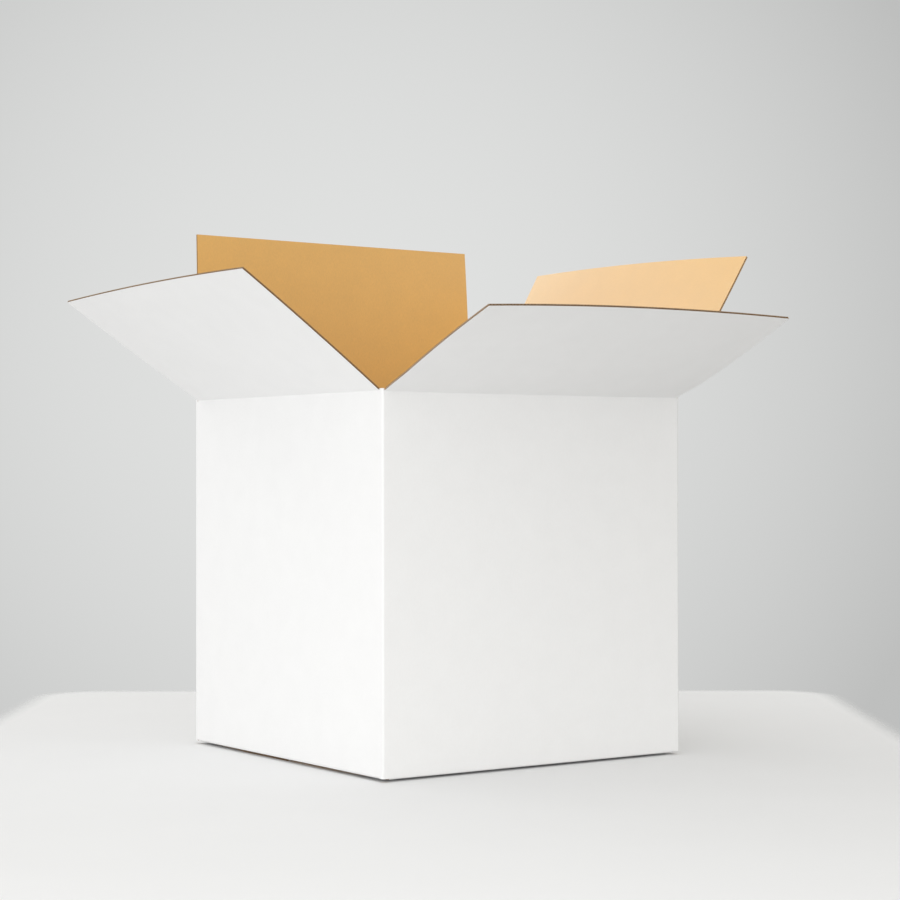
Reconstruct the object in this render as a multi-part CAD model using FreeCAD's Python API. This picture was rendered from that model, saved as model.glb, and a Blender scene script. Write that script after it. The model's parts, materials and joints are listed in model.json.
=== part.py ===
import FreeCAD, Part
import math
import os

# Open slotted carton of fine-flute corrugated board, +Z up, millimetres.
# The origin is the middle of the base, on the surface that the carton stands on.
# -Y is the front wall, -X the left wall. One die-cut sheet makes the walls, the lapped
# corner joint and the closed bottom. Each top flap hangs on its own crease.

# Board
BOARD = 1.6                 # thickness of the board
FOLD_INNER_RADIUS = 0.4     # inside radius of every fold
GLUE_LINE = 0.15            # glue between two layers of board

# Walls, outside sizes
LENGTH_X = 305.0
LENGTH_Y = 309.0
PANEL_HEIGHT = 304.0        # front and back walls, bottom fold to top crease

# Top creases and flaps
LAYER_GAP = 0.3             # between closed flaps that lie one over the other
SEAM_GAP = 1.0              # between the tips of the side flaps when closed
FLAP_TO_WALL = 0.4          # side edge of a closed front or back flap, to the wall beside it
SLOT_WIDTH = 6.8            # slot in the flat sheet between two neighbouring flaps
SLOT_CLEARANCE = 0.3        # flap's side edge to the corner beside it
SLOT_FLOOR_RISE = 0.6       # corners stand this far above the side creases
FOLD_CLEARANCE = 0.2        # between wall and flap along the crease when the flap is closed
AXIS_STAND_OFF = 0.15       # fold axis, out from the wall's outer face

# Rest angles of the top flaps, outward from upright, degrees
LEFT_OPEN = 55.5
RIGHT_OPEN = 32.6
FRONT_OPEN = 66.6
BACK_OPEN = 2.3

# Bottom
BOTTOM_SAG = 2.0            # outer bottom flaps hang this far below their folds
REST_HALF_WIDTH = 70.0      # they lie flat on the ground this far each side of the seam
SAG_BEND_RADIUS = 800.0
BOTTOM_STEP_RUN = 4.4       # length over which an inner bottom flap steps up over an outer one
BOTTOM_STEP_CLEARANCE = 0.8 # foot of that step to the outer flap's side edge
STEP_BEND_RADIUS = 3.0
CORNER_RISE = 0.4           # corners end this far above the bottom folds

# Lapped joint at the back right corner
TAB_WIDTH = 35.0
TAB_SLANT = 12.0            # slant of the tab's ends, degrees
TAB_CLEARANCE = 4.0         # the tab's ends stop short of the top crease and the bottom folds
JOINT_SETBACK = 1.0         # cut edge of the back wall, in from the right wall's outer face

# Worked out from the sizes above
HALF_X = LENGTH_X / 2
HALF_Y = LENGTH_Y / 2
MID_BOARD = BOARD / 2
FOLD_RADIUS = FOLD_INNER_RADIUS + MID_BOARD
FOLD_OUTER_RADIUS = FOLD_INNER_RADIUS + BOARD
FLAP_LENGTH = min(LENGTH_X, LENGTH_Y) / 2 - SEAM_GAP / 2
FRONT_CREASE_Z = BOTTOM_SAG + PANEL_HEIGHT
SIDE_CREASE_Z = FRONT_CREASE_Z + BOARD + LAYER_GAP
CORNER_TOP_Z = SIDE_CREASE_Z + SLOT_FLOOR_RISE
CORNER_BOTTOM_Z = BOTTOM_SAG + CORNER_RISE
OUTER_FOLD_TOP_Z = BOTTOM_SAG + FOLD_OUTER_RADIUS
INNER_FOLD_TOP_Z = OUTER_FOLD_TOP_Z + BOARD
INNER_FLOOR_MID_Z = BOTTOM_SAG + BOARD + GLUE_LINE + MID_BOARD
ROOT_GAP = 2 * AXIS_STAND_OFF + FOLD_CLEARANCE * math.sqrt(2)
BEYOND = 10.0               # how far a cutting tool reaches past the board

FRONT_BACK_INSET = BOARD + FLAP_TO_WALL
SIDE_INSET = SLOT_WIDTH - FRONT_BACK_INSET
FRONT_BACK_HALF = HALF_X - FRONT_BACK_INSET
SIDE_HALF = HALF_Y - SIDE_INSET
BOTTOM_OUTER_HALF = HALF_X - MID_BOARD - BOTTOM_STEP_RUN - BOTTOM_STEP_CLEARANCE

UP = FreeCAD.Vector(0, 0, 1)

# Each wall: its turn about Z from the front wall, the distance of its outer face from the
# middle, the height of its crease, and half the width of its top flap.
WALLS = {
    "front": (0, HALF_Y, FRONT_CREASE_Z, FRONT_BACK_HALF),
    "right": (90, HALF_X, SIDE_CREASE_Z, SIDE_HALF),
    "back": (180, HALF_Y, FRONT_CREASE_Z, FRONT_BACK_HALF),
    "left": (270, HALF_X, SIDE_CREASE_Z, SIDE_HALF),
}
OPEN_ANGLES = {"front": FRONT_OPEN, "right": RIGHT_OPEN, "back": BACK_OPEN, "left": LEFT_OPEN}


def vec(x, y):
    return FreeCAD.Vector(x, y, 0)


def edge_of_board(points, radii, offset):
    """One face of a folded board: the path moved sideways by offset, as straight runs and arcs.

    points are the corners of the middle of the board, radii the fold radius at each inner corner.
    """
    edges = []
    run_start = None
    for i, point in enumerate(points):
        before = point - points[i - 1] if i else points[1] - point
        after = points[i + 1] - point if i + 1 < len(points) else before
        before.normalize()
        after.normalize()
        side_before = vec(-before.y, before.x) * offset
        side_after = vec(-after.y, after.x) * offset
        if i == 0:
            run_start = point + side_after
            continue
        if i == len(points) - 1:
            edges.append(Part.LineSegment(run_start, point + side_before).toShape())
            continue
        turn = math.atan2(before.x * after.y - before.y * after.x, before.dot(after))
        reach = radii[i - 1] * abs(math.tan(turn / 2))
        arc_start = point - before * reach + side_before
        arc_end = point + after * reach + side_after
        to_centre = after - before
        to_centre.normalize()
        left_turn = 1 if turn > 0 else -1
        radius = radii[i - 1] - left_turn * offset
        centre = point + to_centre * (radii[i - 1] / math.cos(turn / 2))
        arc_middle = centre - to_centre * radius
        edges.append(Part.LineSegment(run_start, arc_start).toShape())
        edges.append(Part.Arc(arc_start, arc_middle, arc_end).toShape())
        run_start = arc_end
    return edges


def board_section(points, radii):
    """The cut face of a folded board, in the XY plane, from the corners of its middle line."""
    left = edge_of_board(points, radii, MID_BOARD)
    right = edge_of_board(points, radii, -MID_BOARD)
    start_cap = Part.LineSegment(right[0].Vertexes[0].Point, left[0].Vertexes[0].Point).toShape()
    end_cap = Part.LineSegment(left[-1].Vertexes[-1].Point, right[-1].Vertexes[-1].Point).toShape()
    ordered = Part.sortEdges(left + [end_cap] + right + [start_cap])[0]
    return Part.Face(Part.Wire(ordered))


def stand_section(section, name, half_width):
    """Extrudes a section, drawn as (in from the outer face, up), along the named wall."""
    wall_turn, wall_distance = WALLS[name][:2]
    solid = section.extrude(UP * (2 * half_width))
    solid.translate(UP * -half_width)
    # (in, up, along) becomes (+Y, +Z, +X), as on the front wall
    solid.rotate(FreeCAD.Vector(), FreeCAD.Vector(1, 1, 1), 120)
    solid.translate(FreeCAD.Vector(0, -wall_distance, 0))
    solid.rotate(FreeCAD.Vector(), UP, wall_turn)
    return solid


def polygon_face(corners):
    points = [vec(*corner) for corner in corners]
    return Part.Face(Part.makePolygon(points + points[:1]))


def wall_ring():
    """All four walls and the glue tab, as one strip of board folded round the corners."""
    wall_x = HALF_X - MID_BOARD
    wall_y = HALF_Y - MID_BOARD
    tab_y = wall_y - BOARD - GLUE_LINE
    points = [
        vec(HALF_X - BOARD - TAB_WIDTH, tab_y),
        vec(wall_x, tab_y),
        vec(wall_x, -wall_y),
        vec(-wall_x, -wall_y),
        vec(-wall_x, wall_y),
        vec(HALF_X - JOINT_SETBACK, wall_y),
    ]
    section = board_section(points, [FOLD_RADIUS] * 4)
    ring = section.extrude(UP * (CORNER_TOP_Z - CORNER_BOTTOM_Z))
    ring.translate(UP * CORNER_BOTTOM_Z)
    return ring


def crease_cutter(name):
    """Clears the space above a wall's crease, which is mitred so that the flap can close."""
    crease_z, half_width = WALLS[name][2:]
    floor_z = crease_z - AXIS_STAND_OFF - BOARD - SLOT_CLEARANCE
    reach_in = 2 * BOARD + GLUE_LINE + FOLD_INNER_RADIUS + BEYOND
    top_z = CORNER_TOP_Z + BEYOND
    corners = [
        (-BEYOND, crease_z),
        (0, crease_z),
        (BOARD, crease_z - BOARD),
        (BOARD, floor_z),
        (reach_in, floor_z),
        (reach_in, top_z),
        (-BEYOND, top_z),
    ]
    return stand_section(polygon_face(corners), name, half_width + SLOT_CLEARANCE)


def fold_cutter(name, half_width, fold_top_z):
    """Clears a wall's lower edge, where its bottom flap's fold takes over."""
    corners = [(-BEYOND, 0), (BOARD, 0), (BOARD, fold_top_z), (-BEYOND, fold_top_z)]
    return stand_section(polygon_face(corners), name, half_width)


def outer_bottom_flap(name):
    """Bottom flap of the front or back wall. It sags from its fold to the ground at the seam."""
    points = [
        vec(MID_BOARD, OUTER_FOLD_TOP_Z),
        vec(MID_BOARD, BOTTOM_SAG + MID_BOARD),
        vec(HALF_Y - REST_HALF_WIDTH, MID_BOARD),
        vec(FLAP_LENGTH, MID_BOARD),
    ]
    section = board_section(points, [FOLD_RADIUS, SAG_BEND_RADIUS])
    return stand_section(section, name, BOTTOM_OUTER_HALF)


def inner_bottom_flap(name):
    """Bottom flap of a side wall. It steps up from its fold and lies over the outer flaps."""
    points = [
        vec(MID_BOARD, INNER_FOLD_TOP_Z),
        vec(MID_BOARD, BOTTOM_SAG + MID_BOARD),
        vec(MID_BOARD + BOTTOM_STEP_RUN, INNER_FLOOR_MID_Z),
        vec(FLAP_LENGTH, INNER_FLOOR_MID_Z),
    ]
    section = board_section(points, [FOLD_RADIUS, STEP_BEND_RADIUS])
    return stand_section(section, name, SIDE_HALF)


def tab_end_cutter(fold_z, upward):
    """Cuts one end of the glue tab on a slant, away from the fold that the tab hangs on."""
    root_x = HALF_X - FOLD_OUTER_RADIUS
    tip_x = HALF_X - BOARD - TAB_WIDTH - BEYOND
    rise = (root_x - tip_x) * math.tan(math.radians(TAB_SLANT))
    start_z = fold_z - upward * TAB_CLEARANCE
    far_z = fold_z + upward * BEYOND
    corners = [
        FreeCAD.Vector(root_x, 0, start_z),
        FreeCAD.Vector(tip_x, 0, start_z - upward * rise),
        FreeCAD.Vector(tip_x, 0, far_z),
        FreeCAD.Vector(root_x, 0, far_z),
    ]
    face = Part.Face(Part.makePolygon(corners + corners[:1]))
    tab_outer_y = HALF_Y - BOARD - GLUE_LINE / 2
    face.translate(FreeCAD.Vector(0, tab_outer_y - BOARD - BEYOND, 0))
    return face.extrude(FreeCAD.Vector(0, BOARD + BEYOND, 0))


def carton_sheet():
    """The walls, the glue tab and the four closed bottom flaps: one folded sheet."""
    sheet = wall_ring()
    tools = [crease_cutter(name) for name in WALLS]
    tools += [fold_cutter(name, BOTTOM_OUTER_HALF, OUTER_FOLD_TOP_Z) for name in ("front", "back")]
    tools += [fold_cutter(name, SIDE_HALF, INNER_FOLD_TOP_Z) for name in ("left", "right")]
    tools += [tab_end_cutter(FRONT_CREASE_Z, 1), tab_end_cutter(OUTER_FOLD_TOP_Z, -1)]
    for tool in tools:
        sheet = sheet.cut(tool)
    flaps = [outer_bottom_flap(name) for name in ("front", "back")]
    flaps += [inner_bottom_flap(name) for name in ("left", "right")]
    return sheet.fuse(flaps).removeSplitter()


def top_flap(name):
    """A top flap at its rest angle. Its root is mitred to meet the wall's crease when closed."""
    wall_turn, wall_distance, crease_z, half_width = WALLS[name]
    corners = [
        (0, crease_z + ROOT_GAP),
        (0, crease_z + FLAP_LENGTH),
        (BOARD, crease_z + FLAP_LENGTH),
        (BOARD, crease_z + ROOT_GAP + BOARD),
    ]
    flap = stand_section(polygon_face(corners), name, half_width)
    turn = FreeCAD.Rotation(UP, wall_turn)
    axis_point = turn.multVec(FreeCAD.Vector(0, -wall_distance - AXIS_STAND_OFF, crease_z))
    along_wall = turn.multVec(FreeCAD.Vector(1, 0, 0))
    flap.rotate(axis_point, along_wall, OPEN_ANGLES[name])
    return flap


def write_step(node, shape):
    solids = shape.Solids
    if len(solids) != 1 or not solids[0].isValid():
        raise ValueError(f"{node} is not one valid solid")
    solids[0].exportStep(f"parts/{node}.step")
    box = solids[0].BoundBox
    print(f"{node}: {solids[0].Volume:.0f} mm3, {box.XLength:.1f} x {box.YLength:.1f} x {box.ZLength:.1f}")


def main():
    os.makedirs("parts", exist_ok=True)
    write_step("carton_sheet", carton_sheet())
    for name in WALLS:
        write_step(f"{name}_flap", top_flap(name))


main()
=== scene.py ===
"""Open slotted carton of fine-flute board: white paper outside, brown kraft inside.

Each board is built as the real one is, from an outer liner, a fluted sheet and an inner liner.
Each paper is drawn as a thin skin that follows its folds, and is then given its thickness.
"""

import json
import math

import bpy
import numpy as np
from bpy.props import EnumProperty, FloatProperty, FloatVectorProperty, PointerProperty
from mathutils import Matrix, Vector


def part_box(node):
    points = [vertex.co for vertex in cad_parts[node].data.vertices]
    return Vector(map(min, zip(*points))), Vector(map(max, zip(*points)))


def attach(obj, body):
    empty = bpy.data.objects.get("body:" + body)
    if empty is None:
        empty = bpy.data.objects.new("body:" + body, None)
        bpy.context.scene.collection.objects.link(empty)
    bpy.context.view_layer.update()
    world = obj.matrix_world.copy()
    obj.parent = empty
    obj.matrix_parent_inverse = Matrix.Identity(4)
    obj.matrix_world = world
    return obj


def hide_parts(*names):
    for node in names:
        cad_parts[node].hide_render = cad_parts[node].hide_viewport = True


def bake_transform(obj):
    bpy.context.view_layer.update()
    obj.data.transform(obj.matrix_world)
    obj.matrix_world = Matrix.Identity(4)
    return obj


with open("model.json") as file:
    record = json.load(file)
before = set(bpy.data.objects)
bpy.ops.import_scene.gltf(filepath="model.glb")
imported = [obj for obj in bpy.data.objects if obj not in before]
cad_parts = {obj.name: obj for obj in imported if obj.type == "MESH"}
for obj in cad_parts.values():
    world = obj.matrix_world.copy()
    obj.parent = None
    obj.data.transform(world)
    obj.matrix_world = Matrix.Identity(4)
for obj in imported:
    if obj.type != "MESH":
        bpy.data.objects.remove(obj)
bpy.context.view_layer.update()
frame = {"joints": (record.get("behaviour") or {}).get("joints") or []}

bl_info = {
    "name": "Open Slotted Carton",
    "version": (1, 0, 0),
    "blender": (4, 5, 0),
    "location": "3D View > Sidebar > Carton",
    "description": "Builds an open carton of fine-flute board on a pale studio floor",
    "category": "Add Mesh",
}

MM = 0.001
UP = Vector((0, 0, 1))

# Places nearer than TOUCH count as one. In a folded skin it is MERGE, and at a cut it is CUT
TOUCH = 0.01 * MM
MERGE = 0.002 * MM
CUT = 0.0001 * MM

# The carton's outside, from the frame
SHEET_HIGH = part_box("carton_sheet")[1]
HALF_X = SHEET_HIGH.x
HALF_Y = SHEET_HIGH.y
CORNER_TOP = SHEET_HIGH.z
JOINTS = {joint["name"]: joint for joint in frame["joints"]}

# Each wall: its turn about Z from the front wall, and the distance of its outer face
WALLS = {
    "front": (0, HALF_Y),
    "right": (90, HALF_X),
    "back": (180, HALF_Y),
    "left": (270, HALF_X),
}

# The walls whose bottom flaps lie outside, and whose top flaps close first
OUTER_WALLS = ("front", "back")

# A top flap leans this many degrees out from upright when it is folded down
FOLDED_DOWN = 177

# Rows of vertices round a top crease, in crease reaches from its middle
CREASE_ROWS = (-2, -1.5, -1, -0.75, -0.5, -0.25, 0, 0.25, 0.5, 0.75, 1, 1.5, 2, 2.6, 3.4)

# Height of the strip that a top flap is raised from, which isn't kept
STARTER = 1 * MM

# Noise scales of the papers, in waves to the metre
CLOUD_SCALE = 45
SWELL_SCALE = 38
FIBRE_SCALE = 1900
GRAIN_SCALE = 2600


# ---------------------------------------------------------------- sizes and colours


class BoardSettings(bpy.types.PropertyGroup):
    """Sizes of the board and its folds."""

    board: FloatProperty(
        name="Board", description="Thickness of the board", default=1.6 * MM, unit="LENGTH")
    liner: FloatProperty(
        name="Liner", description="Thickness of the paper on each face", default=0.26 * MM,
        unit="LENGTH")
    medium: FloatProperty(
        name="Medium", description="Thickness of the fluted paper", default=0.18 * MM,
        unit="LENGTH")
    pitch: FloatProperty(
        name="Flute pitch", description="Length of one flute's wave", default=3.2 * MM,
        unit="LENGTH")
    fold_radius: FloatProperty(
        name="Fold radius", description="Inside radius of the corner folds", default=0.4 * MM,
        unit="LENGTH")
    glue_line: FloatProperty(
        name="Glue line", description="Glue between two boards", default=0.15 * MM,
        unit="LENGTH")
    crease_reach: FloatProperty(
        name="Crease reach", description="Half the width of a top crease", default=1.3 * MM,
        unit="LENGTH")
    score: FloatProperty(
        name="Score", description="Share of the thickness that a crease is crushed by",
        default=0.4, subtype="FACTOR")
    groove: FloatProperty(
        name="Groove", description="Depth of a top crease's line on the outside",
        default=0.22 * MM, unit="LENGTH")
    groove_reach: FloatProperty(
        name="Groove reach", description="Half the width of that line", default=2.08 * MM,
        unit="LENGTH")


class SheetSettings(bpy.types.PropertyGroup):
    """Sizes of the walls, the glue tab and the bottom flaps."""

    ring_low: FloatProperty(
        name="Ring bottom", description="Height at which the plain part of the walls begins",
        default=8 * MM, unit="LENGTH")
    ring_high: FloatProperty(
        name="Ring top", description="Height at which the plain part of the walls ends",
        default=302 * MM, unit="LENGTH")
    sag: FloatProperty(
        name="Sag", description="Depth that the outer bottom flaps hang below their folds",
        default=2 * MM, unit="LENGTH")
    rest_half_width: FloatProperty(
        name="Rest half width", description="Outer flaps lie flat this far from the seam",
        default=70 * MM, unit="LENGTH")
    corner_rise: FloatProperty(
        name="Corner rise", description="Corners end this far above the bottom folds",
        default=0.9 * MM, unit="LENGTH")
    corner_crown: FloatProperty(
        name="Corner crown", description="How far the paper's corners rise above the board's",
        default=1 * MM, unit="LENGTH")
    outer_inset: FloatProperty(
        name="Outer flap inset", description="Outer bottom flap's side, in from the wall's end",
        default=6 * MM, unit="LENGTH")
    inner_inset: FloatProperty(
        name="Inner flap inset", description="Inner bottom flap's side, in from the wall's end",
        default=4.8 * MM, unit="LENGTH")
    slot_clearance: FloatProperty(
        name="Slot clearance", description="Top flap's side to the corner beside it",
        default=0.3 * MM, unit="LENGTH")
    sag_radius: FloatProperty(
        name="Sag radius", description="Bend radius where an outer flap meets the ground",
        default=800 * MM, unit="LENGTH")
    step_run: FloatProperty(
        name="Step run", description="Length of the step in an inner bottom flap",
        default=4.4 * MM, unit="LENGTH")
    step_radius: FloatProperty(
        name="Step radius", description="Bend radius at the top of that step",
        default=3 * MM, unit="LENGTH")
    tab_width: FloatProperty(
        name="Tab width", description="Width of the glue tab", default=35 * MM, unit="LENGTH")
    tab_slant: FloatProperty(
        name="Tab slant", description="Slant of the glue tab's ends",
        default=math.radians(12), subtype="ANGLE")
    flap_length: FloatProperty(
        name="Flap length", description="Length of every flap, from its wall's outer face",
        default=HALF_X - 0.5 * MM, unit="LENGTH")
    joint_setback: FloatProperty(
        name="Joint setback", description="Back wall's cut edge to the right wall's face",
        default=1 * MM, unit="LENGTH")


class FlapSettings(bpy.types.PropertyGroup):
    """How one top flap has warped from flat."""

    curl: FloatProperty(
        name="Curl", description="How much further out the tip leans than the root",
        default=0.0, subtype="ANGLE")
    bow: FloatProperty(
        name="Bow", description="How far the middle of the tip stands inward", default=0.0,
        unit="LENGTH")
    twist: FloatProperty(
        name="Twist", description="How much further out one end leans", default=0.0,
        subtype="ANGLE")
    uneven_curl: FloatProperty(
        name="Uneven curl", description="How much more one end curls than the middle",
        default=0.0, subtype="ANGLE")
    lift: FloatProperty(
        name="Lift", description="How far the fold rides up above the hinge's line",
        default=0.0, unit="LENGTH")
    flute_phase: FloatProperty(
        name="Flute phase", description="Where the flutes' wave stands in the wall's middle",
        default=math.radians(30), subtype="ANGLE")


class PaperSettings(bpy.types.PropertyGroup):
    """Colours of the papers."""

    white: FloatVectorProperty(
        name="White liner", description="Outer paper", default=(0.866, 0.866, 0.864),
        subtype="COLOR", min=0, max=1)
    kraft: FloatVectorProperty(
        name="Kraft liner", description="Inner paper", default=(0.785, 0.45, 0.08),
        subtype="COLOR", min=0, max=1)
    # The fluting is darker than the brown medium itself: partly its own colour, partly painted
    # shade of the flute hollows seen at the cut edges
    fluting: FloatVectorProperty(
        name="Fluting", description="Paper of the flutes", default=(0.27, 0.165, 0.085),
        subtype="COLOR", min=0, max=1)


class StageSettings(bpy.types.PropertyGroup):
    """Floor, light and camera."""

    floor: FloatVectorProperty(
        name="Floor", description="Colour of the floor", default=(0.818, 0.822, 0.826),
        subtype="COLOR", min=0, max=1)
    floor_size: FloatVectorProperty(
        name="Floor size", description="Width and depth of the floor, as the camera faces it",
        default=(0.856, 1.6), size=2, unit="LENGTH")
    floor_far: FloatProperty(
        name="Floor's far edge", description="Distance of that edge behind the carton's middle",
        default=0.503, unit="LENGTH")
    floor_corner: FloatProperty(
        name="Floor corner", description="Radius of the floor's corners", default=0.06,
        unit="LENGTH")
    floor_fade: FloatProperty(
        name="Floor fade", description="Width over which the floor's edge fades out",
        default=0.03, unit="LENGTH")
    backdrop: FloatVectorProperty(
        name="Backdrop", description="Tint of the backdrop", default=(0.99, 1.0, 0.99),
        subtype="COLOR", min=0, max=1)
    backdrop_middle: FloatVectorProperty(
        name="Backdrop middle", description="Direction in which the backdrop is palest",
        default=(0.531, 0.848, 0.058), subtype="DIRECTION")
    backdrop_range: FloatVectorProperty(
        name="Backdrop range", description="Darkest and palest tone of the backdrop",
        default=(0.52, 0.756), size=2)
    backdrop_spread: FloatProperty(
        name="Backdrop spread", description="Angle from the palest direction to the darkest tone",
        default=math.radians(16.42), subtype="ANGLE")
    ambient: FloatVectorProperty(
        name="Ambient", description="Strength of the light from above on the left and the right",
        default=(1.23, 0.66), size=2)
    ambient_below: FloatVectorProperty(
        name="Ambient below", description="Strength of the light from below, left and right",
        default=(0.94, 0.22), size=2)
    ambient_tint: FloatVectorProperty(
        name="Ambient tint", description="Tint of the light from the right",
        default=(1.0, 0.98, 0.93), subtype="COLOR", min=0, max=1)
    camera_place: FloatVectorProperty(
        name="Camera place", description="Where the camera stands",
        default=(-1.0872, -1.5923, 0.2442), subtype="TRANSLATION", unit="LENGTH")
    camera_turn: FloatProperty(
        name="Camera turn", description="Turn of the camera from +Y towards +X",
        default=math.radians(34.794), subtype="ANGLE")
    camera_tilt: FloatProperty(
        name="Camera tilt", description="Tilt of the camera above level",
        default=math.radians(0.556), subtype="ANGLE")
    camera_roll: FloatProperty(
        name="Camera roll", description="Roll of the camera about its view",
        default=math.radians(-0.07), subtype="ANGLE")
    lens: FloatProperty(
        name="Lens", description="Focal length in millimetres", default=87.45)


# ---------------------------------------------------------------- working on a mesh


def settings():
    """The scene, which holds the groups of settings."""
    return bpy.context.scene


def flap_warp(wall):
    """The settings of one top flap."""
    return getattr(settings(), f"carton_{wall}_flap")


def edit():
    """Goes into edit mode."""
    bpy.ops.object.mode_set(mode="EDIT")


def leave():
    """Goes back to object mode."""
    bpy.ops.object.mode_set(mode="OBJECT")


def points(piece):
    """All the vertices' places, as rows of x, y, z."""
    places = np.empty(len(piece.data.vertices) * 3)
    piece.data.vertices.foreach_get("co", places)
    return places.reshape(-1, 3)


def place_points(piece, places):
    """Moves all the vertices to the given places."""
    piece.data.vertices.foreach_set("co", places.ravel())
    piece.data.update()


def start_piece(name):
    """Names the object that an operator has just added, and settles its place into its mesh."""
    bpy.ops.object.transform_apply(location=True, rotation=True, scale=True)
    piece = bpy.context.object
    piece.name = name
    piece.data.name = name
    return piece


def add_panel(name, low, high, across, facing, columns=1):
    """An upright panel of one row of faces. low and high are (x or y, z) of opposite corners.

    facing is the panel's turn about Z, where 0 faces -Y, and across is its distance that way.
    """
    bpy.ops.object.select_all(action="DESELECT")
    middle = [(a + b) / 2 for a, b in zip(low, high)]
    bpy.ops.mesh.primitive_grid_add(
        x_subdivisions=columns, y_subdivisions=1, size=1, rotation=(math.pi / 2, 0, 0),
        location=(middle[0], -across, middle[1]))
    bpy.context.object.scale = (high[0] - low[0], high[1] - low[1], 1)
    piece = start_piece(name)
    turn_piece(piece, facing)
    return piece


def turn_piece(piece, degrees):
    """Turns a finished mesh about the carton's upright axis."""
    if degrees:
        piece.rotation_euler = (0, 0, math.radians(degrees))
        bpy.ops.object.transform_apply(location=False, rotation=True, scale=False)


def choose(piece, test):
    """Selects the vertices whose places pass the test, and what lies wholly among them."""
    leave()
    chosen = test(*points(piece).T)
    mesh = piece.data
    mesh.polygons.foreach_set("select", [False] * len(mesh.polygons))
    mesh.edges.foreach_set("select", [False] * len(mesh.edges))
    mesh.vertices.foreach_set("select", chosen)
    edit()
    bpy.ops.mesh.select_mode(type="VERT")


def choose_faces(piece, chosen):
    """Selects faces, given a true or false for each."""
    leave()
    mesh = piece.data
    bpy.context.tool_settings.mesh_select_mode = (False, False, True)
    mesh.vertices.foreach_set("select", [False] * len(mesh.vertices))
    mesh.edges.foreach_set("select", [False] * len(mesh.edges))
    mesh.polygons.foreach_set("select", chosen)
    edit()


def run(x=0.0, y=0.0, z=0.0):
    """Extends the chosen edges in a straight line."""
    bpy.ops.mesh.extrude_region_move(TRANSFORM_OT_translate={"value": (x, y, z)})


def run_through(axis, stops):
    """Extends the chosen edges along x, y or z, from each stop to the next."""
    for start, stop in zip(stops, stops[1:]):
        run(**{axis: stop - start})


def bend(degrees, centre, axis, steps=6):
    """Extends the chosen edges round an arc, by the right-hand rule about the axis."""
    bpy.ops.mesh.spin(
        steps=steps, angle=-math.radians(degrees), center=centre, axis=axis,
        use_auto_merge=False, dupli=False)


def use_modifier(piece, kind, **values):
    """Adds a modifier, sets it and applies it."""
    modifier = piece.modifiers.new(kind.title(), kind)
    for name, value in values.items():
        setattr(modifier, name, value)
    bpy.context.view_layer.objects.active = piece
    bpy.ops.object.modifier_apply(modifier=modifier.name)


def face_outward(piece):
    """Makes the mesh's faces agree, pointing away from the carton's inside."""
    edit()
    bpy.ops.mesh.select_all(action="SELECT")
    bpy.ops.mesh.remove_doubles(threshold=MERGE)
    bpy.ops.mesh.normals_make_consistent(inside=False)
    leave()
    wall = max(piece.data.polygons, key=lambda face: face.area * abs(face.normal.xy.length))
    if wall.normal.xy.dot(wall.center.xy) < 0:
        piece.data.flip_normals()


def finish_piece(piece, smooth_angle=30):
    """Smooths a piece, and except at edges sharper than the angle."""
    bpy.ops.object.select_all(action="DESELECT")
    piece.select_set(True)
    bpy.context.view_layer.objects.active = piece
    bpy.ops.object.shade_smooth_by_angle(angle=math.radians(smooth_angle))


def join(pieces, name):
    """Joins several meshes into one piece."""
    bpy.ops.object.select_all(action="DESELECT")
    for piece in pieces:
        piece.select_set(True)
    bpy.context.view_layer.objects.active = pieces[0]
    bpy.ops.object.join()
    pieces[0].name = name
    pieces[0].data.name = name
    return pieces[0]


# ---------------------------------------------------------------- materials


class Nodes:
    """The nodes of a material or a world, added and linked one after another."""

    def __init__(self, owner):
        owner.use_nodes = True
        self.tree = owner.node_tree
        self.tree.nodes.clear()

    def add(self, kind, inputs=None, **values):
        """Adds a node. An input is given a number, a colour or another node's output."""
        node = self.tree.nodes.new(kind)
        for name, value in values.items():
            setattr(node, name, value)
        for name, value in (inputs or {}).items():
            if isinstance(value, bpy.types.NodeSocket):
                self.tree.links.new(value, node.inputs[name])
            else:
                node.inputs[name].default_value = value
        return node

    def noise(self, place, scale, detail=3.0, roughness=0.5):
        """A cloudy pattern of values round a half."""
        inputs = {"Vector": place, "Scale": scale, "Detail": detail, "Roughness": roughness}
        return self.add("ShaderNodeTexNoise", inputs).outputs["Fac"]

    def spread(self, value, low, high):
        """Maps a noise, which seldom leaves 0.3 to 0.7, onto a range."""
        inputs = {"Value": value, "From Min": 0.3, "From Max": 0.7, "To Min": low, "To Max": high}
        return self.add("ShaderNodeMapRange", inputs).outputs["Result"]

    def math(self, operation, first, second):
        """The result of an operation on two values."""
        return self.add("ShaderNodeMath", {0: first, 1: second}, operation=operation).outputs[0]

    def tint(self, colour, value):
        """The colour made lighter or darker by a value near 1."""
        inputs = {"Fac": 1.0, "Color1": (*colour, 1), "Color2": value}
        return self.add("ShaderNodeMixRGB", inputs, blend_type="MULTIPLY").outputs["Color"]


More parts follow.
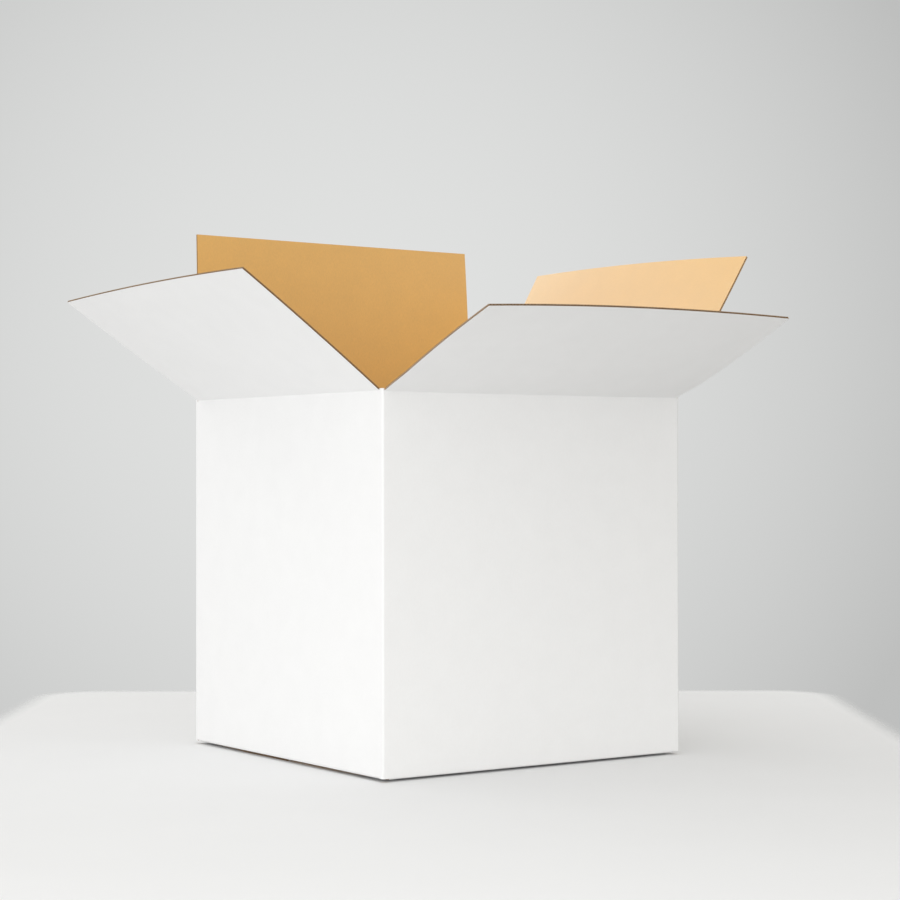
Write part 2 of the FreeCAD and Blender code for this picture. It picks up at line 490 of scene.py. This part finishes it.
def paper(name, colour, roughness, mottle, fibre, gloss, sheen, swelling):
    """Matt paper: cloudy tone, fine fibres in its colour, and a fibrous, faintly wavy face."""
    material = bpy.data.materials.new(name)
    made = Nodes(material)
    place = made.add("ShaderNodeTexCoord").outputs["Object"]
    clouds = made.spread(made.noise(place, CLOUD_SCALE, detail=4), 1 - mottle, 1 + mottle)
    # the fibres are longer than they are wide
    drawn_out = made.add("ShaderNodeMapping", {"Vector": place, "Scale": (1.0, 1.0, 0.22)})
    fibres = made.noise(drawn_out.outputs["Vector"], FIBRE_SCALE, roughness=0.6)
    specks = made.spread(fibres, 1 - fibre, 1 + fibre)
    tone = made.math("MULTIPLY", clouds, specks)
    grain = made.noise(place, GRAIN_SCALE, detail=2)
    swell = made.noise(place, SWELL_SCALE, detail=2)
    relief = made.math("ADD", made.math("MULTIPLY", fibres, 0.6), made.math("MULTIPLY", grain, 0.4))
    fine = made.add("ShaderNodeBump", {"Height": relief, "Strength": 0.1, "Distance": 0.04 * MM})
    bump = made.add(
        "ShaderNodeBump",
        {"Height": swell, "Strength": 0.5, "Distance": swelling, "Normal": fine.outputs["Normal"]})
    shader = made.add(
        "ShaderNodeBsdfPrincipled",
        {
            "Base Color": made.tint(colour, tone),
            "Roughness": made.spread(grain, roughness - 0.06, roughness + 0.06),
            "Specular IOR Level": gloss,
            "Sheen Weight": sheen,
            "Sheen Roughness": 0.6,
            "Normal": bump.outputs["Normal"],
        })
    made.add("ShaderNodeOutputMaterial", {"Surface": shader.outputs["BSDF"]})
    return material


def papers():
    """The three papers of the board, made once."""
    have = bpy.data.materials
    if "white_liner_paper" not in have:
        colours = settings().carton_papers
        paper("white_liner_paper", colours.white, roughness=0.55, mottle=0.008, fibre=0.012,
              gloss=0.35, sheen=0.0, swelling=0.15 * MM)
        paper("kraft_liner_paper", colours.kraft, roughness=0.35, mottle=0.02, fibre=0.06,
              gloss=0.7, sheen=1.0, swelling=0.2 * MM)
        # The fluting paper's darkness is partly painted shade, and on the liners' rims it paints
        # the shade of the cut edges
        paper("fluting_paper_and_edge_shade", colours.fluting, roughness=0.75, mottle=0.04, fibre=0.08,
              gloss=0.3, sheen=0.0, swelling=0.1 * MM)
    return have["white_liner_paper"], have["kraft_liner_paper"], have["fluting_paper_and_edge_shade"]


# ---------------------------------------------------------------- the sheet: walls and bottom


def bottom_half_width(is_outer):
    """Half the width of a bottom flap, along its fold."""
    sheet = settings().carton_sheet
    return HALF_X - sheet.outer_inset if is_outer else HALF_Y - sheet.inner_inset


def glue_tab_panel(name, depth):
    """The glue tab, whose ends slant, as the first panel of the strip of walls.

    Also gives the places where it folds: the fold's x, and the distance of the tab's face.
    """
    board = settings().carton_board
    sheet = settings().carton_sheet
    face_y = HALF_Y - board.board - board.glue_line - depth
    root_x = HALF_X - board.fold_radius - board.board
    tip_x = HALF_X - board.board - sheet.tab_width
    # the tab faces +Y as the back wall does, so left and right swap
    panel = add_panel(
        name, (-root_x, sheet.ring_low), (-tip_x, sheet.ring_high), face_y, 180)
    rise = (root_x - tip_x) * math.tan(sheet.tab_slant)
    middle = (sheet.ring_low + sheet.ring_high) / 2
    middle_x = (root_x + tip_x) / 2
    choose(panel, lambda x, y, z: (x < middle_x) & (z > middle))
    bpy.ops.transform.translate(value=(0, 0, -rise))
    choose(panel, lambda x, y, z: (x < middle_x) & (z < middle))
    bpy.ops.transform.translate(value=(0, 0, rise))
    return panel, root_x, face_y


def turn_corner(x, y, slot_turn, slot_first):
    """Bends the strip a quarter turn round an upright fold.

    The small turn that the slot reaches round the fold comes first, or last.
    """
    turns = [(slot_turn, 1), (90 - slot_turn, 6)]
    for degrees, steps in turns if slot_first else reversed(turns):
        bend(degrees, (x, y, 0), (0, 0, -1), steps)


def wall_strip(name, depth):
    """All four walls and the glue tab as one strip, depth inside the outer face.

    It goes from the tab round the right, front, left and back walls, and has an edge at each
    side of every slot and of every bottom flap.
    """
    board = settings().carton_board
    sheet = settings().carton_sheet
    radius = board.fold_radius + board.board
    clear = sheet.slot_clearance
    panel, root_x, face_y = glue_tab_panel(name, depth)
    tab_fold_y = face_y + depth - radius
    fold_x = HALF_X - radius
    fold_y = HALF_Y - radius
    inner = bottom_half_width(False)
    outer = bottom_half_width(True)
    end_x = HALF_X - sheet.joint_setback
    slot_turn = math.degrees(math.asin(clear / radius))
    choose(panel, lambda x, y, z: x > root_x - TOUCH)
    turn_corner(fold_x, tab_fold_y, slot_turn, slot_first=True)
    run_through("y", (tab_fold_y, inner + clear, inner, -inner, -inner - clear, -fold_y))
    turn_corner(fold_x, -fold_y, slot_turn, slot_first=False)
    run_through("x", (fold_x, outer, -outer, -fold_x))
    turn_corner(-fold_x, -fold_y, slot_turn, slot_first=True)
    run_through("y", (-fold_y, -inner - clear, -inner, inner, inner + clear, fold_y))
    turn_corner(-fold_x, fold_y, slot_turn, slot_first=False)
    run_through("x", (-fold_x, -outer, outer, fold_x + clear, end_x))
    return panel


def raise_corners(piece):
    """Carries the corners between the slots up to their top, and down to the bottom folds."""
    board = settings().carton_board
    sheet = settings().carton_sheet
    high, low = sheet.ring_high, sheet.ring_low
    corner_low = sheet.sag + sheet.corner_rise
    just_past = 0.02 * MM
    slot_x = HALF_X - board.fold_radius - board.board + just_past
    flap_x = bottom_half_width(True) - TOUCH
    flap_y = bottom_half_width(False) - TOUCH
    slot_y = flap_y + sheet.slot_clearance
    choose(piece, lambda x, y, z: (z > high - TOUCH) & (abs(x) > slot_x) & (abs(y) > slot_y))
    run(z=CORNER_TOP + sheet.corner_crown - high)
    for side_x, side_y in ((1, 1), (1, -1), (-1, 1), (-1, -1)):
        choose(piece, lambda x, y, z: (
            (z < low + TOUCH) & (x * side_x > flap_x) & (y * side_y > flap_y)))
        run(z=corner_low - low)


def level_part(distance, is_outer):
    """Where the middle of a bottom flap's board turns level, and how.

    An outer flap sags from its fold to the ground, and an inner one steps up over the outer
    ones. Gives the place, inward from the wall's face, the height, and the bend's radius and
    sense, which is 1 where the bend's centre is above the flap and -1 where it is below.
    """
    board = settings().carton_board
    sheet = settings().carton_sheet
    middle = board.board / 2
    if is_outer:
        return distance - sheet.rest_half_width, middle, sheet.sag_radius, 1
    resting_z = sheet.sag + middle + board.board + board.glue_line
    return middle + sheet.step_run, resting_z, sheet.step_radius, -1


def fold_bottom_flap(piece, distance, turn, is_outer):
    """Folds one bottom flap from the lower edge of its wall: a fold, a slope and a level part."""
    board = settings().carton_board
    sheet = settings().carton_sheet
    turned = Matrix.Rotation(math.radians(turn), 3, "Z")
    outward = turned @ Vector((0, -1, 0))
    along = turned @ Vector((1, 0, 0))
    middle = board.board / 2
    half = bottom_half_width(is_outer)
    fold_radius = board.fold_radius + middle
    corner_z = sheet.sag + middle
    flat_from, flat_z, second_radius, sense = level_part(distance, is_outer)
    slope = math.atan2(flat_z - corner_z, flat_from - middle)
    slanting = math.hypot(flat_z - corner_z, flat_from - middle)
    first_turn = math.pi / 2 + slope
    first_reach = fold_radius * math.tan(first_turn / 2)
    second_reach = second_radius * math.tan(abs(slope) / 2)

    def lower_edge(x, y, z):
        out = x * outward.x + y * outward.y
        side = x * along.x + y * along.y
        at_edge = abs(z - sheet.ring_low) < TOUCH
        return at_edge & (abs(side) < half + TOUCH) & (out > distance / 2)

    def spot(inward, z):
        return outward * (distance - inward) + UP * z

    choose(piece, lower_edge)
    run(z=corner_z + first_reach - sheet.ring_low)
    bend(math.degrees(first_turn), spot(middle + fold_radius, corner_z + first_reach), along)
    straight = slanting - first_reach - second_reach
    run(*(outward * -straight * math.cos(slope) + UP * straight * math.sin(slope)))
    second_centre = spot(flat_from + second_reach, flat_z + sense * second_radius)
    bend(math.degrees(abs(slope)), second_centre, along * sense, steps=3)
    run(*(outward * -(sheet.flap_length - flat_from - second_reach)))


def build_liner(name, depth):
    """One liner of the sheet as a skin with no thickness."""
    piece = wall_strip(name, depth)
    raise_corners(piece)
    for wall, (turn, distance) in WALLS.items():
        fold_bottom_flap(piece, distance, turn, wall in OUTER_WALLS)
    leave()
    face_outward(piece)
    return piece


def thicken_liner(piece, is_outer):
    """Gives a liner its paper's thickness, towards the flutes.

    The white liner is brown behind, and both have the flutes' darker paper at their cut edges:
    painted shade, standing for the shadow in the cut flutes.
    """
    white, kraft, fluting = papers()
    for material in [white, kraft, fluting] if is_outer else [kraft, fluting]:
        piece.data.materials.append(material)
    use_modifier(
        piece, "SOLIDIFY", thickness=settings().carton_board.liner, offset=-1 if is_outer else 1,
        use_even_offset=True, use_quality_normals=True, material_offset=int(is_outer),
        material_offset_rim=int(is_outer) + 1)


# ---------------------------------------------------------------- flutes


def one_flute(name, low_z, high_z, distance, start=math.radians(30)):
    """One wave of the fluted paper, standing where the front wall is."""
    board = settings().carton_board
    half = board.pitch / 2
    middle = distance - board.board / 2
    piece = add_panel(name, (-half, low_z), (half, high_z), middle, 0, columns=6)
    places = points(piece)
    phase = 2 * math.pi * places[:, 0] / board.pitch + start
    swing = board.board / 2 - board.liner - board.medium / 2
    places[:, 1] += swing * np.sin(phase)
    place_points(piece, places)
    return piece


def repeat_flute(piece, half_width):
    """Repeats a flute across a wall and trims the row to its width."""
    pitch = settings().carton_board.pitch
    count = 2 * math.ceil(half_width / pitch) + 1
    places = points(piece)
    places[:, 0] -= (count - 1) / 2 * pitch
    place_points(piece, places)
    use_modifier(
        piece, "ARRAY", count=count, use_relative_offset=False, use_constant_offset=True,
        constant_offset_displace=(pitch, 0, 0), use_merge_vertices=True, merge_threshold=TOUCH)
    for side in (-1, 1):
        trim(piece, (side * half_width, 0, 0), (side, 0, 0))


def trim(piece, point, outward):
    """Cuts away what lies beyond a plane."""
    bpy.context.view_layer.objects.active = piece
    edit()
    bpy.ops.mesh.select_mode(type="VERT")
    bpy.ops.mesh.select_all(action="SELECT")
    bpy.ops.mesh.bisect(plane_co=point, plane_no=outward, clear_outer=True, threshold=CUT)
    leave()


def thicken_flutes(piece):
    """Gives the fluted paper its thickness."""
    piece.data.materials.append(papers()[2])
    use_modifier(piece, "SOLIDIFY", thickness=settings().carton_board.medium, offset=0)


def wall_flutes(wall):
    """The flutes of one wall and its bottom flap."""
    sheet = settings().carton_sheet
    turn, distance = WALLS[wall]
    is_outer = wall in OUTER_WALLS
    start = flap_warp(wall).flute_phase
    piece = one_flute(f"{wall}_wall_flutes", sheet.ring_low, sheet.ring_high, distance, start)
    fold_bottom_flap(piece, distance, 0, is_outer)
    leave()
    repeat_flute(piece, bottom_half_width(is_outer))
    thicken_flutes(piece)
    turn_piece(piece, turn)
    return piece


def tab_flutes():
    """The flutes of the glue tab, cut on the slant at its ends."""
    board = settings().carton_board
    sheet = settings().carton_sheet
    root = HALF_X - board.board - board.fold_radius
    tip = HALF_X - board.board - sheet.tab_width
    lean = sheet.tab_slant
    distance = HALF_Y - board.board - board.glue_line
    piece = one_flute("tab_flutes", sheet.ring_low, sheet.ring_high, distance)
    repeat_flute(piece, root)
    trim(piece, (-tip, 0, 0), (1, 0, 0))
    trim(piece, (-root, 0, sheet.ring_high), (math.sin(lean), 0, math.cos(lean)))
    trim(piece, (-root, 0, sheet.ring_low), (math.sin(lean), 0, -math.cos(lean)))
    thicken_flutes(piece)
    turn_piece(piece, 180)
    return piece


def level_width(piece, face):
    """How far a face reaches, seen from above."""
    corners = [piece.data.vertices[i].co.xy for i in face.vertices]
    return max((a - b).length for a in corners for b in corners)


def crushed_corners():
    """The flutes crushed flat where the walls fold round the corners."""
    board = settings().carton_board
    piece = wall_strip("crushed_corners", board.board / 2)
    raise_corners(piece)
    leave()
    face_outward(piece)
    narrowest_panel = 20 * MM
    choose_faces(
        piece, [level_width(piece, face) > narrowest_panel for face in piece.data.polygons])
    bpy.ops.mesh.delete(type="FACE")
    leave()
    piece.data.materials.append(papers()[2])
    use_modifier(piece, "SOLIDIFY", thickness=board.board - 2 * board.liner, offset=0,
                 use_even_offset=True)
    return piece


# ---------------------------------------------------------------- top flaps


def rest_angle(wall):
    """How far a top flap leans out from upright at rest, from its crease's range."""
    return math.radians(FOLDED_DOWN + JOINTS[f"{wall}_crease"]["range_deg"][0])


def flap_half_width(wall):
    """Half the width of a top flap, along its crease."""
    low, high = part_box(f"{wall}_flap")
    return (high.x - low.x) / 2 if wall in OUTER_WALLS else (high.y - low.y) / 2


def ease(share):
    """Goes smoothly from 0 to 1 as the share does."""
    share = np.clip(share, 0, 1)
    return share * share * (3 - 2 * share)


def raise_flap(piece, wall, rows):
    """Extends a starter strip through the wall's crease to the flap's tip, and deletes it."""
    crease_z = JOINTS[f"{wall}_crease"]["pos_m"][2]
    reach = settings().carton_board.crease_reach
    length = settings().carton_sheet.flap_length
    ring_high = settings().carton_sheet.ring_high
    stops = [ring_high - crease_z] + [reach * share for share in CREASE_ROWS]
    last = stops[-1]
    stops += [last + (length - last) * (i + 1) / rows for i in range(rows)]
    choose(piece, lambda x, y, z: z > ring_high - TOUCH)
    run_through("z", stops)
    choose(piece, lambda x, y, z: z < ring_high - STARTER / 2)
    bpy.ops.mesh.delete(type="VERT")
    leave()


def shape_flap(piece, wall):
    """Scores and folds the crease, and warps the flap, from upright to how it stands at rest.

    The lift is greatest at the flap's ends and has gone a quarter of the way to its tip. The
    curl leaves the tip where it is: the root leans out half of it less, and the tip half more.
    """
    board = settings().carton_board
    length = settings().carton_sheet.flap_length
    warp = flap_warp(wall)
    joint = JOINTS[f"{wall}_crease"]
    crease_z = joint["pos_m"][2]
    turn, distance = WALLS[wall]
    pivot = Vector(joint["pos_m"]).xy.length
    x, y, z = points(piece).T
    along = x / flap_half_width(wall)
    lift = warp.lift * (1 + along ** 6) * (1 - ease((z - crease_z) / (length / 4)))
    up = z - crease_z - lift
    share = np.clip(up / length, 0, 1)
    score = np.clip(1 - (up / board.groove_reach) ** 2, 0, 1) ** 2
    inward = (y + distance) * (1 - board.score * score) + board.groove * score + pivot - distance
    inward += warp.bow * (1 - along ** 2) * share ** 2
    curl = warp.curl + warp.uneven_curl * along
    lean = rest_angle(wall) + warp.twist * along + curl * (share - 1) / 2
    angle = lean * ease(0.5 + up / (2 * board.crease_reach))
    out_y = inward * np.cos(angle) - up * np.sin(angle) - pivot
    out_z = inward * np.sin(angle) + up * np.cos(angle) + crease_z + lift
    place_points(piece, np.column_stack((x, out_y, out_z)))
    turn_piece(piece, turn)


def hang_flap(piece, wall, depth):
    """Bakes a finished piece of a flap, depth inside the outer face, into its place, and hides the
    flap's part.

    It works out the crease's reach along the line midway between the wall and the flap, which
    nothing uses, and the piece hangs on no body.
    """
    joint = JOINTS[f"{wall}_crease"]
    pivot = Vector(joint["pos_m"])
    half_angle = rest_angle(wall) / 2
    inward = depth + pivot.xy.length - WALLS[wall][1]
    reach = settings().carton_board.crease_reach * math.cos(half_angle)
    reach += inward * math.sin(half_angle)
    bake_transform(piece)
    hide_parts(f"{wall}_flap")


def widen_root(piece, wall, is_outer):
    """Brings a flap's liner out to the corners beside it, from just below its crease.

    On the outer liner the round end of each slot leaves a little web that goes up from there.
    """
    board = settings().carton_board
    crease_z = JOINTS[f"{wall}_crease"]["pos_m"][2]
    places = points(piece)
    at_side = abs(places[:, 0]) > flap_half_width(wall) - TOUCH
    up = places[:, 2] - crease_z
    widening = settings().carton_sheet.slot_clearance * (up < -0.1 * board.crease_reach)
    if is_outer:
        rise = CORNER_TOP - crease_z
        web_width, web_height = 0.25 * rise, 1.8 * rise
        web = web_width * np.clip(1 - up / web_height, 0, 1) ** 2
        widening += web * np.clip(0.6 + up / board.crease_reach, 0, 1)
    places[:, 0] += np.sign(places[:, 0]) * widening * at_side
    place_points(piece, places)


def flap_liner(wall, is_outer):
    """One liner of a top flap, from the wall's upper part to the tip, and its depth."""
    ring_high = settings().carton_sheet.ring_high
    depth = 0.0 if is_outer else settings().carton_board.board
    half = flap_half_width(wall)
    name = f"{wall}_flap_{'outer' if is_outer else 'inner'}_liner"
    piece = add_panel(
        name, (-half, ring_high - STARTER), (half, ring_high), WALLS[wall][1] - depth, 0,
        columns=16)
    raise_flap(piece, wall, rows=14)
    widen_root(piece, wall, is_outer)
    face_outward(piece)
    shape_flap(piece, wall)
    return piece, depth


def flap_flutes(wall):
    """The flutes of a top flap."""
    ring_high = settings().carton_sheet.ring_high
    piece = one_flute(
        f"{wall}_flap_fluting", ring_high - STARTER, ring_high, WALLS[wall][1],
        flap_warp(wall).flute_phase)
    raise_flap(piece, wall, rows=8)
    repeat_flute(piece, flap_half_width(wall))
    shape_flap(piece, wall)
    thicken_flutes(piece)
    return piece


# ---------------------------------------------------------------- stage


def soft_lamp(name, place, aim, size, power):
    """A square soft lamp, aimed at a point."""
    bpy.ops.object.light_add(type="AREA", location=place)
    lamp = bpy.context.object
    lamp.name = name
    lamp.rotation_euler = (Vector(aim) - Vector(place)).to_track_quat("-Z", "Y").to_euler()
    lamp.data.shape = "SQUARE"
    lamp.data.size = size
    lamp.data.energy = power
    lamp.visible_camera = False


def floor_material():
    """Pale matt floor: a rounded oblong, turned to face the camera, whose edges fade out."""
    stage = settings().carton_stage
    width, depth = stage.floor_size
    corner, fade = stage.floor_corner, stage.floor_fade
    any_height = 9
    material = bpy.data.materials.new("pale_floor")
    made = Nodes(material)
    place = made.add("ShaderNodeTexCoord").outputs["Object"]
    turned = made.add("ShaderNodeMapping", {
        "Vector": place, "Location": (0, depth / 2 - stage.floor_far, 0),
        "Rotation": (0, 0, stage.camera_turn)}).outputs["Vector"]
    beyond = turned
    for operation, by in (
            ("ABSOLUTE", (0, 0, 0)),
            ("SUBTRACT", (width / 2 - corner, depth / 2 - corner, any_height)),
            ("MAXIMUM", (0, 0, 0))):
        beyond = made.add(
            "ShaderNodeVectorMath", {0: beyond, 1: by}, operation=operation).outputs["Vector"]
    outside = made.add("ShaderNodeVectorMath", {0: beyond}, operation="LENGTH").outputs["Value"]
    edge = made.add("ShaderNodeMapRange", {
        "Value": outside, "From Min": corner - fade / 2, "From Max": corner + fade / 2},
        interpolation_type="SMOOTHSTEP").outputs["Result"]
    mottle = made.spread(made.noise(place, scale=9), 0.995, 1.005)
    shader = made.add("ShaderNodeBsdfPrincipled", {
        "Base Color": made.tint(stage.floor, mottle), "Roughness": 0.7, "Specular IOR Level": 0.2})
    clear = made.add("ShaderNodeBsdfTransparent")
    mix = made.add("ShaderNodeMixShader", {0: edge, 1: shader.outputs[0], 2: clear.outputs[0]})
    made.add("ShaderNodeOutputMaterial", {"Surface": mix.outputs[0]})
    return material


def seen_directly(made):
    """1 where the camera sees a surface, straight or in a gloss, and 0 for the light it gives."""
    path = made.add("ShaderNodeLightPath").outputs
    seen = made.math("MAXIMUM", path["Is Camera Ray"], path["Is Glossy Ray"])
    return made.math("MAXIMUM", seen, path["Is Transmission Ray"])


def backdrop_world():
    """Soft light from all round, stronger from the left, and a backdrop that fades to one side."""
    stage = settings().carton_stage
    world = bpy.data.worlds.new("studio")
    bpy.context.scene.world = world
    made = Nodes(world)
    towards = made.add("ShaderNodeTexCoord").outputs["Generated"]
    axes = made.add("ShaderNodeSeparateXYZ", {0: towards}).outputs
    rightward = made.add("ShaderNodeMapRange", {
        "Value": axes["X"], "From Min": -1.0, "From Max": 1.0}).outputs["Result"]
    below, above = [
        made.add("ShaderNodeMapRange", {
            "Value": rightward, "To Min": left, "To Max": right}).outputs["Result"]
        for left, right in (stage.ambient_below, stage.ambient)]
    # how steeply a ray points where the light from below starts to give way, and where it has
    below_until, above_from = -0.15, 0.05
    strength = made.add("ShaderNodeMapRange", {
        "Value": axes["Z"], "From Min": below_until, "From Max": above_from, "To Min": below,
        "To Max": above}, interpolation_type="SMOOTHSTEP").outputs["Result"]
    tint = made.add("ShaderNodeMixRGB", {
        "Fac": rightward, "Color1": (1, 1, 1, 1), "Color2": (*stage.ambient_tint, 1)})
    light = made.add("ShaderNodeBackground", {"Color": tint.outputs[0], "Strength": strength})
    nearness = made.add("ShaderNodeVectorMath", {
        0: towards, 1: Vector(stage.backdrop_middle).normalized()},
        operation="DOT_PRODUCT").outputs["Value"]
    darkest, palest = stage.backdrop_range
    tone = made.add("ShaderNodeMapRange", {
        "Value": nearness, "From Min": math.cos(stage.backdrop_spread), "From Max": 1.0,
        "To Min": darkest, "To Max": palest}).outputs["Result"]
    seen = made.add("ShaderNodeBackground", {"Color": (*stage.backdrop, 1), "Strength": tone})
    mix = made.add("ShaderNodeMixShader", {
        0: seen_directly(made), 1: light.outputs[0], 2: seen.outputs[0]})
    made.add("ShaderNodeOutputWorld", {"Surface": mix.outputs[0]})


def place_camera():
    """Sets the camera at its place, level but for its tilt and roll."""
    stage = settings().carton_stage
    bpy.ops.object.camera_add(location=stage.camera_place)
    camera = bpy.context.object
    camera.name = "camera"
    view = Matrix.Rotation(-stage.camera_turn, 4, "Z")
    view @= Matrix.Rotation(math.pi / 2 + stage.camera_tilt, 4, "X")
    view @= Matrix.Rotation(stage.camera_roll, 4, "Z")
    camera.rotation_euler = view.to_euler()
    camera.data.lens = stage.lens
    camera.data.sensor_width = 36
    camera.data.clip_start = 0.01
    bpy.context.scene.camera = camera


# ---------------------------------------------------------------- operators


class CARTON_OT_liners(bpy.types.Operator):
    """Folds the outer and inner liners of the walls, the glue tab and the bottom"""

    bl_idname = "carton.liners"
    bl_label = "Wall and bottom liners"

    def execute(self, context):
        for name, is_outer in (("outer", True), ("inner", False)):
            depth = 0.0 if is_outer else context.scene.carton_board.board
            piece = build_liner(f"carton_{name}_liner", depth)
            thicken_liner(piece, is_outer)
            finish_piece(piece)
            use_modifier(piece, "WEIGHTED_NORMAL", keep_sharp=True)
            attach(piece, "carton")
            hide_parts("carton_sheet")
        return {"FINISHED"}


class CARTON_OT_fluting(bpy.types.Operator):
    """Makes the flutes of the walls, the glue tab and the bottom"""

    bl_idname = "carton.fluting"
    bl_label = "Wall and bottom flutes"

    def execute(self, context):
        parts = [wall_flutes(wall) for wall in WALLS] + [tab_flutes(), crushed_corners()]
        piece = join(parts, "carton_fluting")
        finish_piece(piece, smooth_angle=50)
        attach(piece, "carton")
        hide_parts("carton_sheet")
        return {"FINISHED"}


class CARTON_OT_top_flap(bpy.types.Operator):
    """Makes one top flap with its crease: both liners and the flutes between them"""

    bl_idname = "carton.top_flap"
    bl_label = "Top flap"

    wall: EnumProperty(
        name="Wall", description="The wall that the flap hangs on",
        items=[(wall, wall.title(), f"The {wall} wall's top flap") for wall in WALLS])

    def execute(self, context):
        for is_outer in (True, False):
            piece, depth = flap_liner(self.wall, is_outer)
            thicken_liner(piece, is_outer)
            finish_piece(piece, smooth_angle=40)
            hang_flap(piece, self.wall, depth)
        piece = flap_flutes(self.wall)
        finish_piece(piece, smooth_angle=50)
        hang_flap(piece, self.wall, context.scene.carton_board.board / 2)
        return {"FINISHED"}


class CARTON_OT_stage(bpy.types.Operator):
    """Sets the pale floor, the soft lamps, the backdrop and the camera"""

    bl_idname = "carton.stage"
    bl_label = "Studio stage"

    def execute(self, context):
        bpy.ops.object.select_all(action="DESELECT")
        bpy.ops.mesh.primitive_plane_add(size=6)
        floor = start_piece("floor")
        floor.data.materials.append(floor_material())
        soft_lamp("front_left_lamp", place=(-1.0, -1.15, 0.28), aim=(-0.15, -0.15, 0.25),
                  size=0.6, power=3.7)
        soft_lamp("back_lamp", place=(-0.7, 3.0, 2.5), aim=(0, 0, 0.3), size=1.4, power=12.2)
        backdrop_world()
        place_camera()
        context.scene.view_settings.view_transform = "Standard"
        return {"FINISHED"}


class CARTON_PT_builder(bpy.types.Panel):
    """Lists the carton's pieces and its stage"""

    bl_idname = "CARTON_PT_builder"
    bl_label = "Open carton"
    bl_space_type = "VIEW_3D"
    bl_region_type = "UI"
    bl_category = "Carton"

    def draw(self, context):
        column = self.layout.column()
        column.operator(CARTON_OT_liners.bl_idname)
        column.operator(CARTON_OT_fluting.bl_idname)
        for wall in WALLS:
            made = column.operator(CARTON_OT_top_flap.bl_idname, text=f"{wall.title()} top flap")
            made.wall = wall
        column.operator(CARTON_OT_stage.bl_idname)


SETTINGS = {
    "carton_board": BoardSettings,
    "carton_sheet": SheetSettings,
    "carton_papers": PaperSettings,
    "carton_stage": StageSettings,
    **{f"carton_{wall}_flap": FlapSettings for wall in WALLS},
}
CLASSES = (
    BoardSettings, SheetSettings, FlapSettings, PaperSettings, StageSettings, CARTON_OT_liners,
    CARTON_OT_fluting, CARTON_OT_top_flap, CARTON_OT_stage, CARTON_PT_builder)

# How each top flap has warped. A setting that isn't named here keeps its default
WARPS = {
    "front": {
        "curl": math.radians(-0.6), "uneven_curl": math.radians(-5.9), "bow": 3.5 * MM,
        "twist": math.radians(-0.45), "lift": 0.8 * MM, "flute_phase": math.radians(-79)},
    "right": {"curl": math.radians(-3.3), "bow": 4.4 * MM, "twist": math.radians(-1.4)},
    "back": {"curl": math.radians(2.5), "bow": -1.2 * MM, "twist": math.radians(-1.6)},
    "left": {
        "curl": math.radians(0.1), "uneven_curl": math.radians(2.5), "bow": 3.15 * MM,
        "twist": math.radians(-1.5), "flute_phase": math.radians(169)},
}


def register():
    """Registers the classes and hangs the settings on the scene."""
    for each in CLASSES:
        bpy.utils.register_class(each)
    for name, group in SETTINGS.items():
        setattr(bpy.types.Scene, name, PointerProperty(type=group))


def unregister():
    """Takes the settings and the classes away again."""
    for name in SETTINGS:
        delattr(bpy.types.Scene, name)
    for each in reversed(CLASSES):
        bpy.utils.unregister_class(each)


def warp_flaps():
    """Gives each top flap its own warp."""
    for wall, values in WARPS.items():
        for name, value in values.items():
            setattr(flap_warp(wall), name, value)


def main():
    """Builds the carton and its stage."""
    register()
    warp_flaps()
    bpy.ops.object.select_all(action="DESELECT")
    bpy.ops.carton.liners()
    bpy.ops.carton.fluting()
    for wall in WALLS:
        bpy.ops.carton.top_flap(wall=wall)
    bpy.ops.carton.stage()
    bpy.context.view_layer.update()


if __name__ == "__main__":
    main()
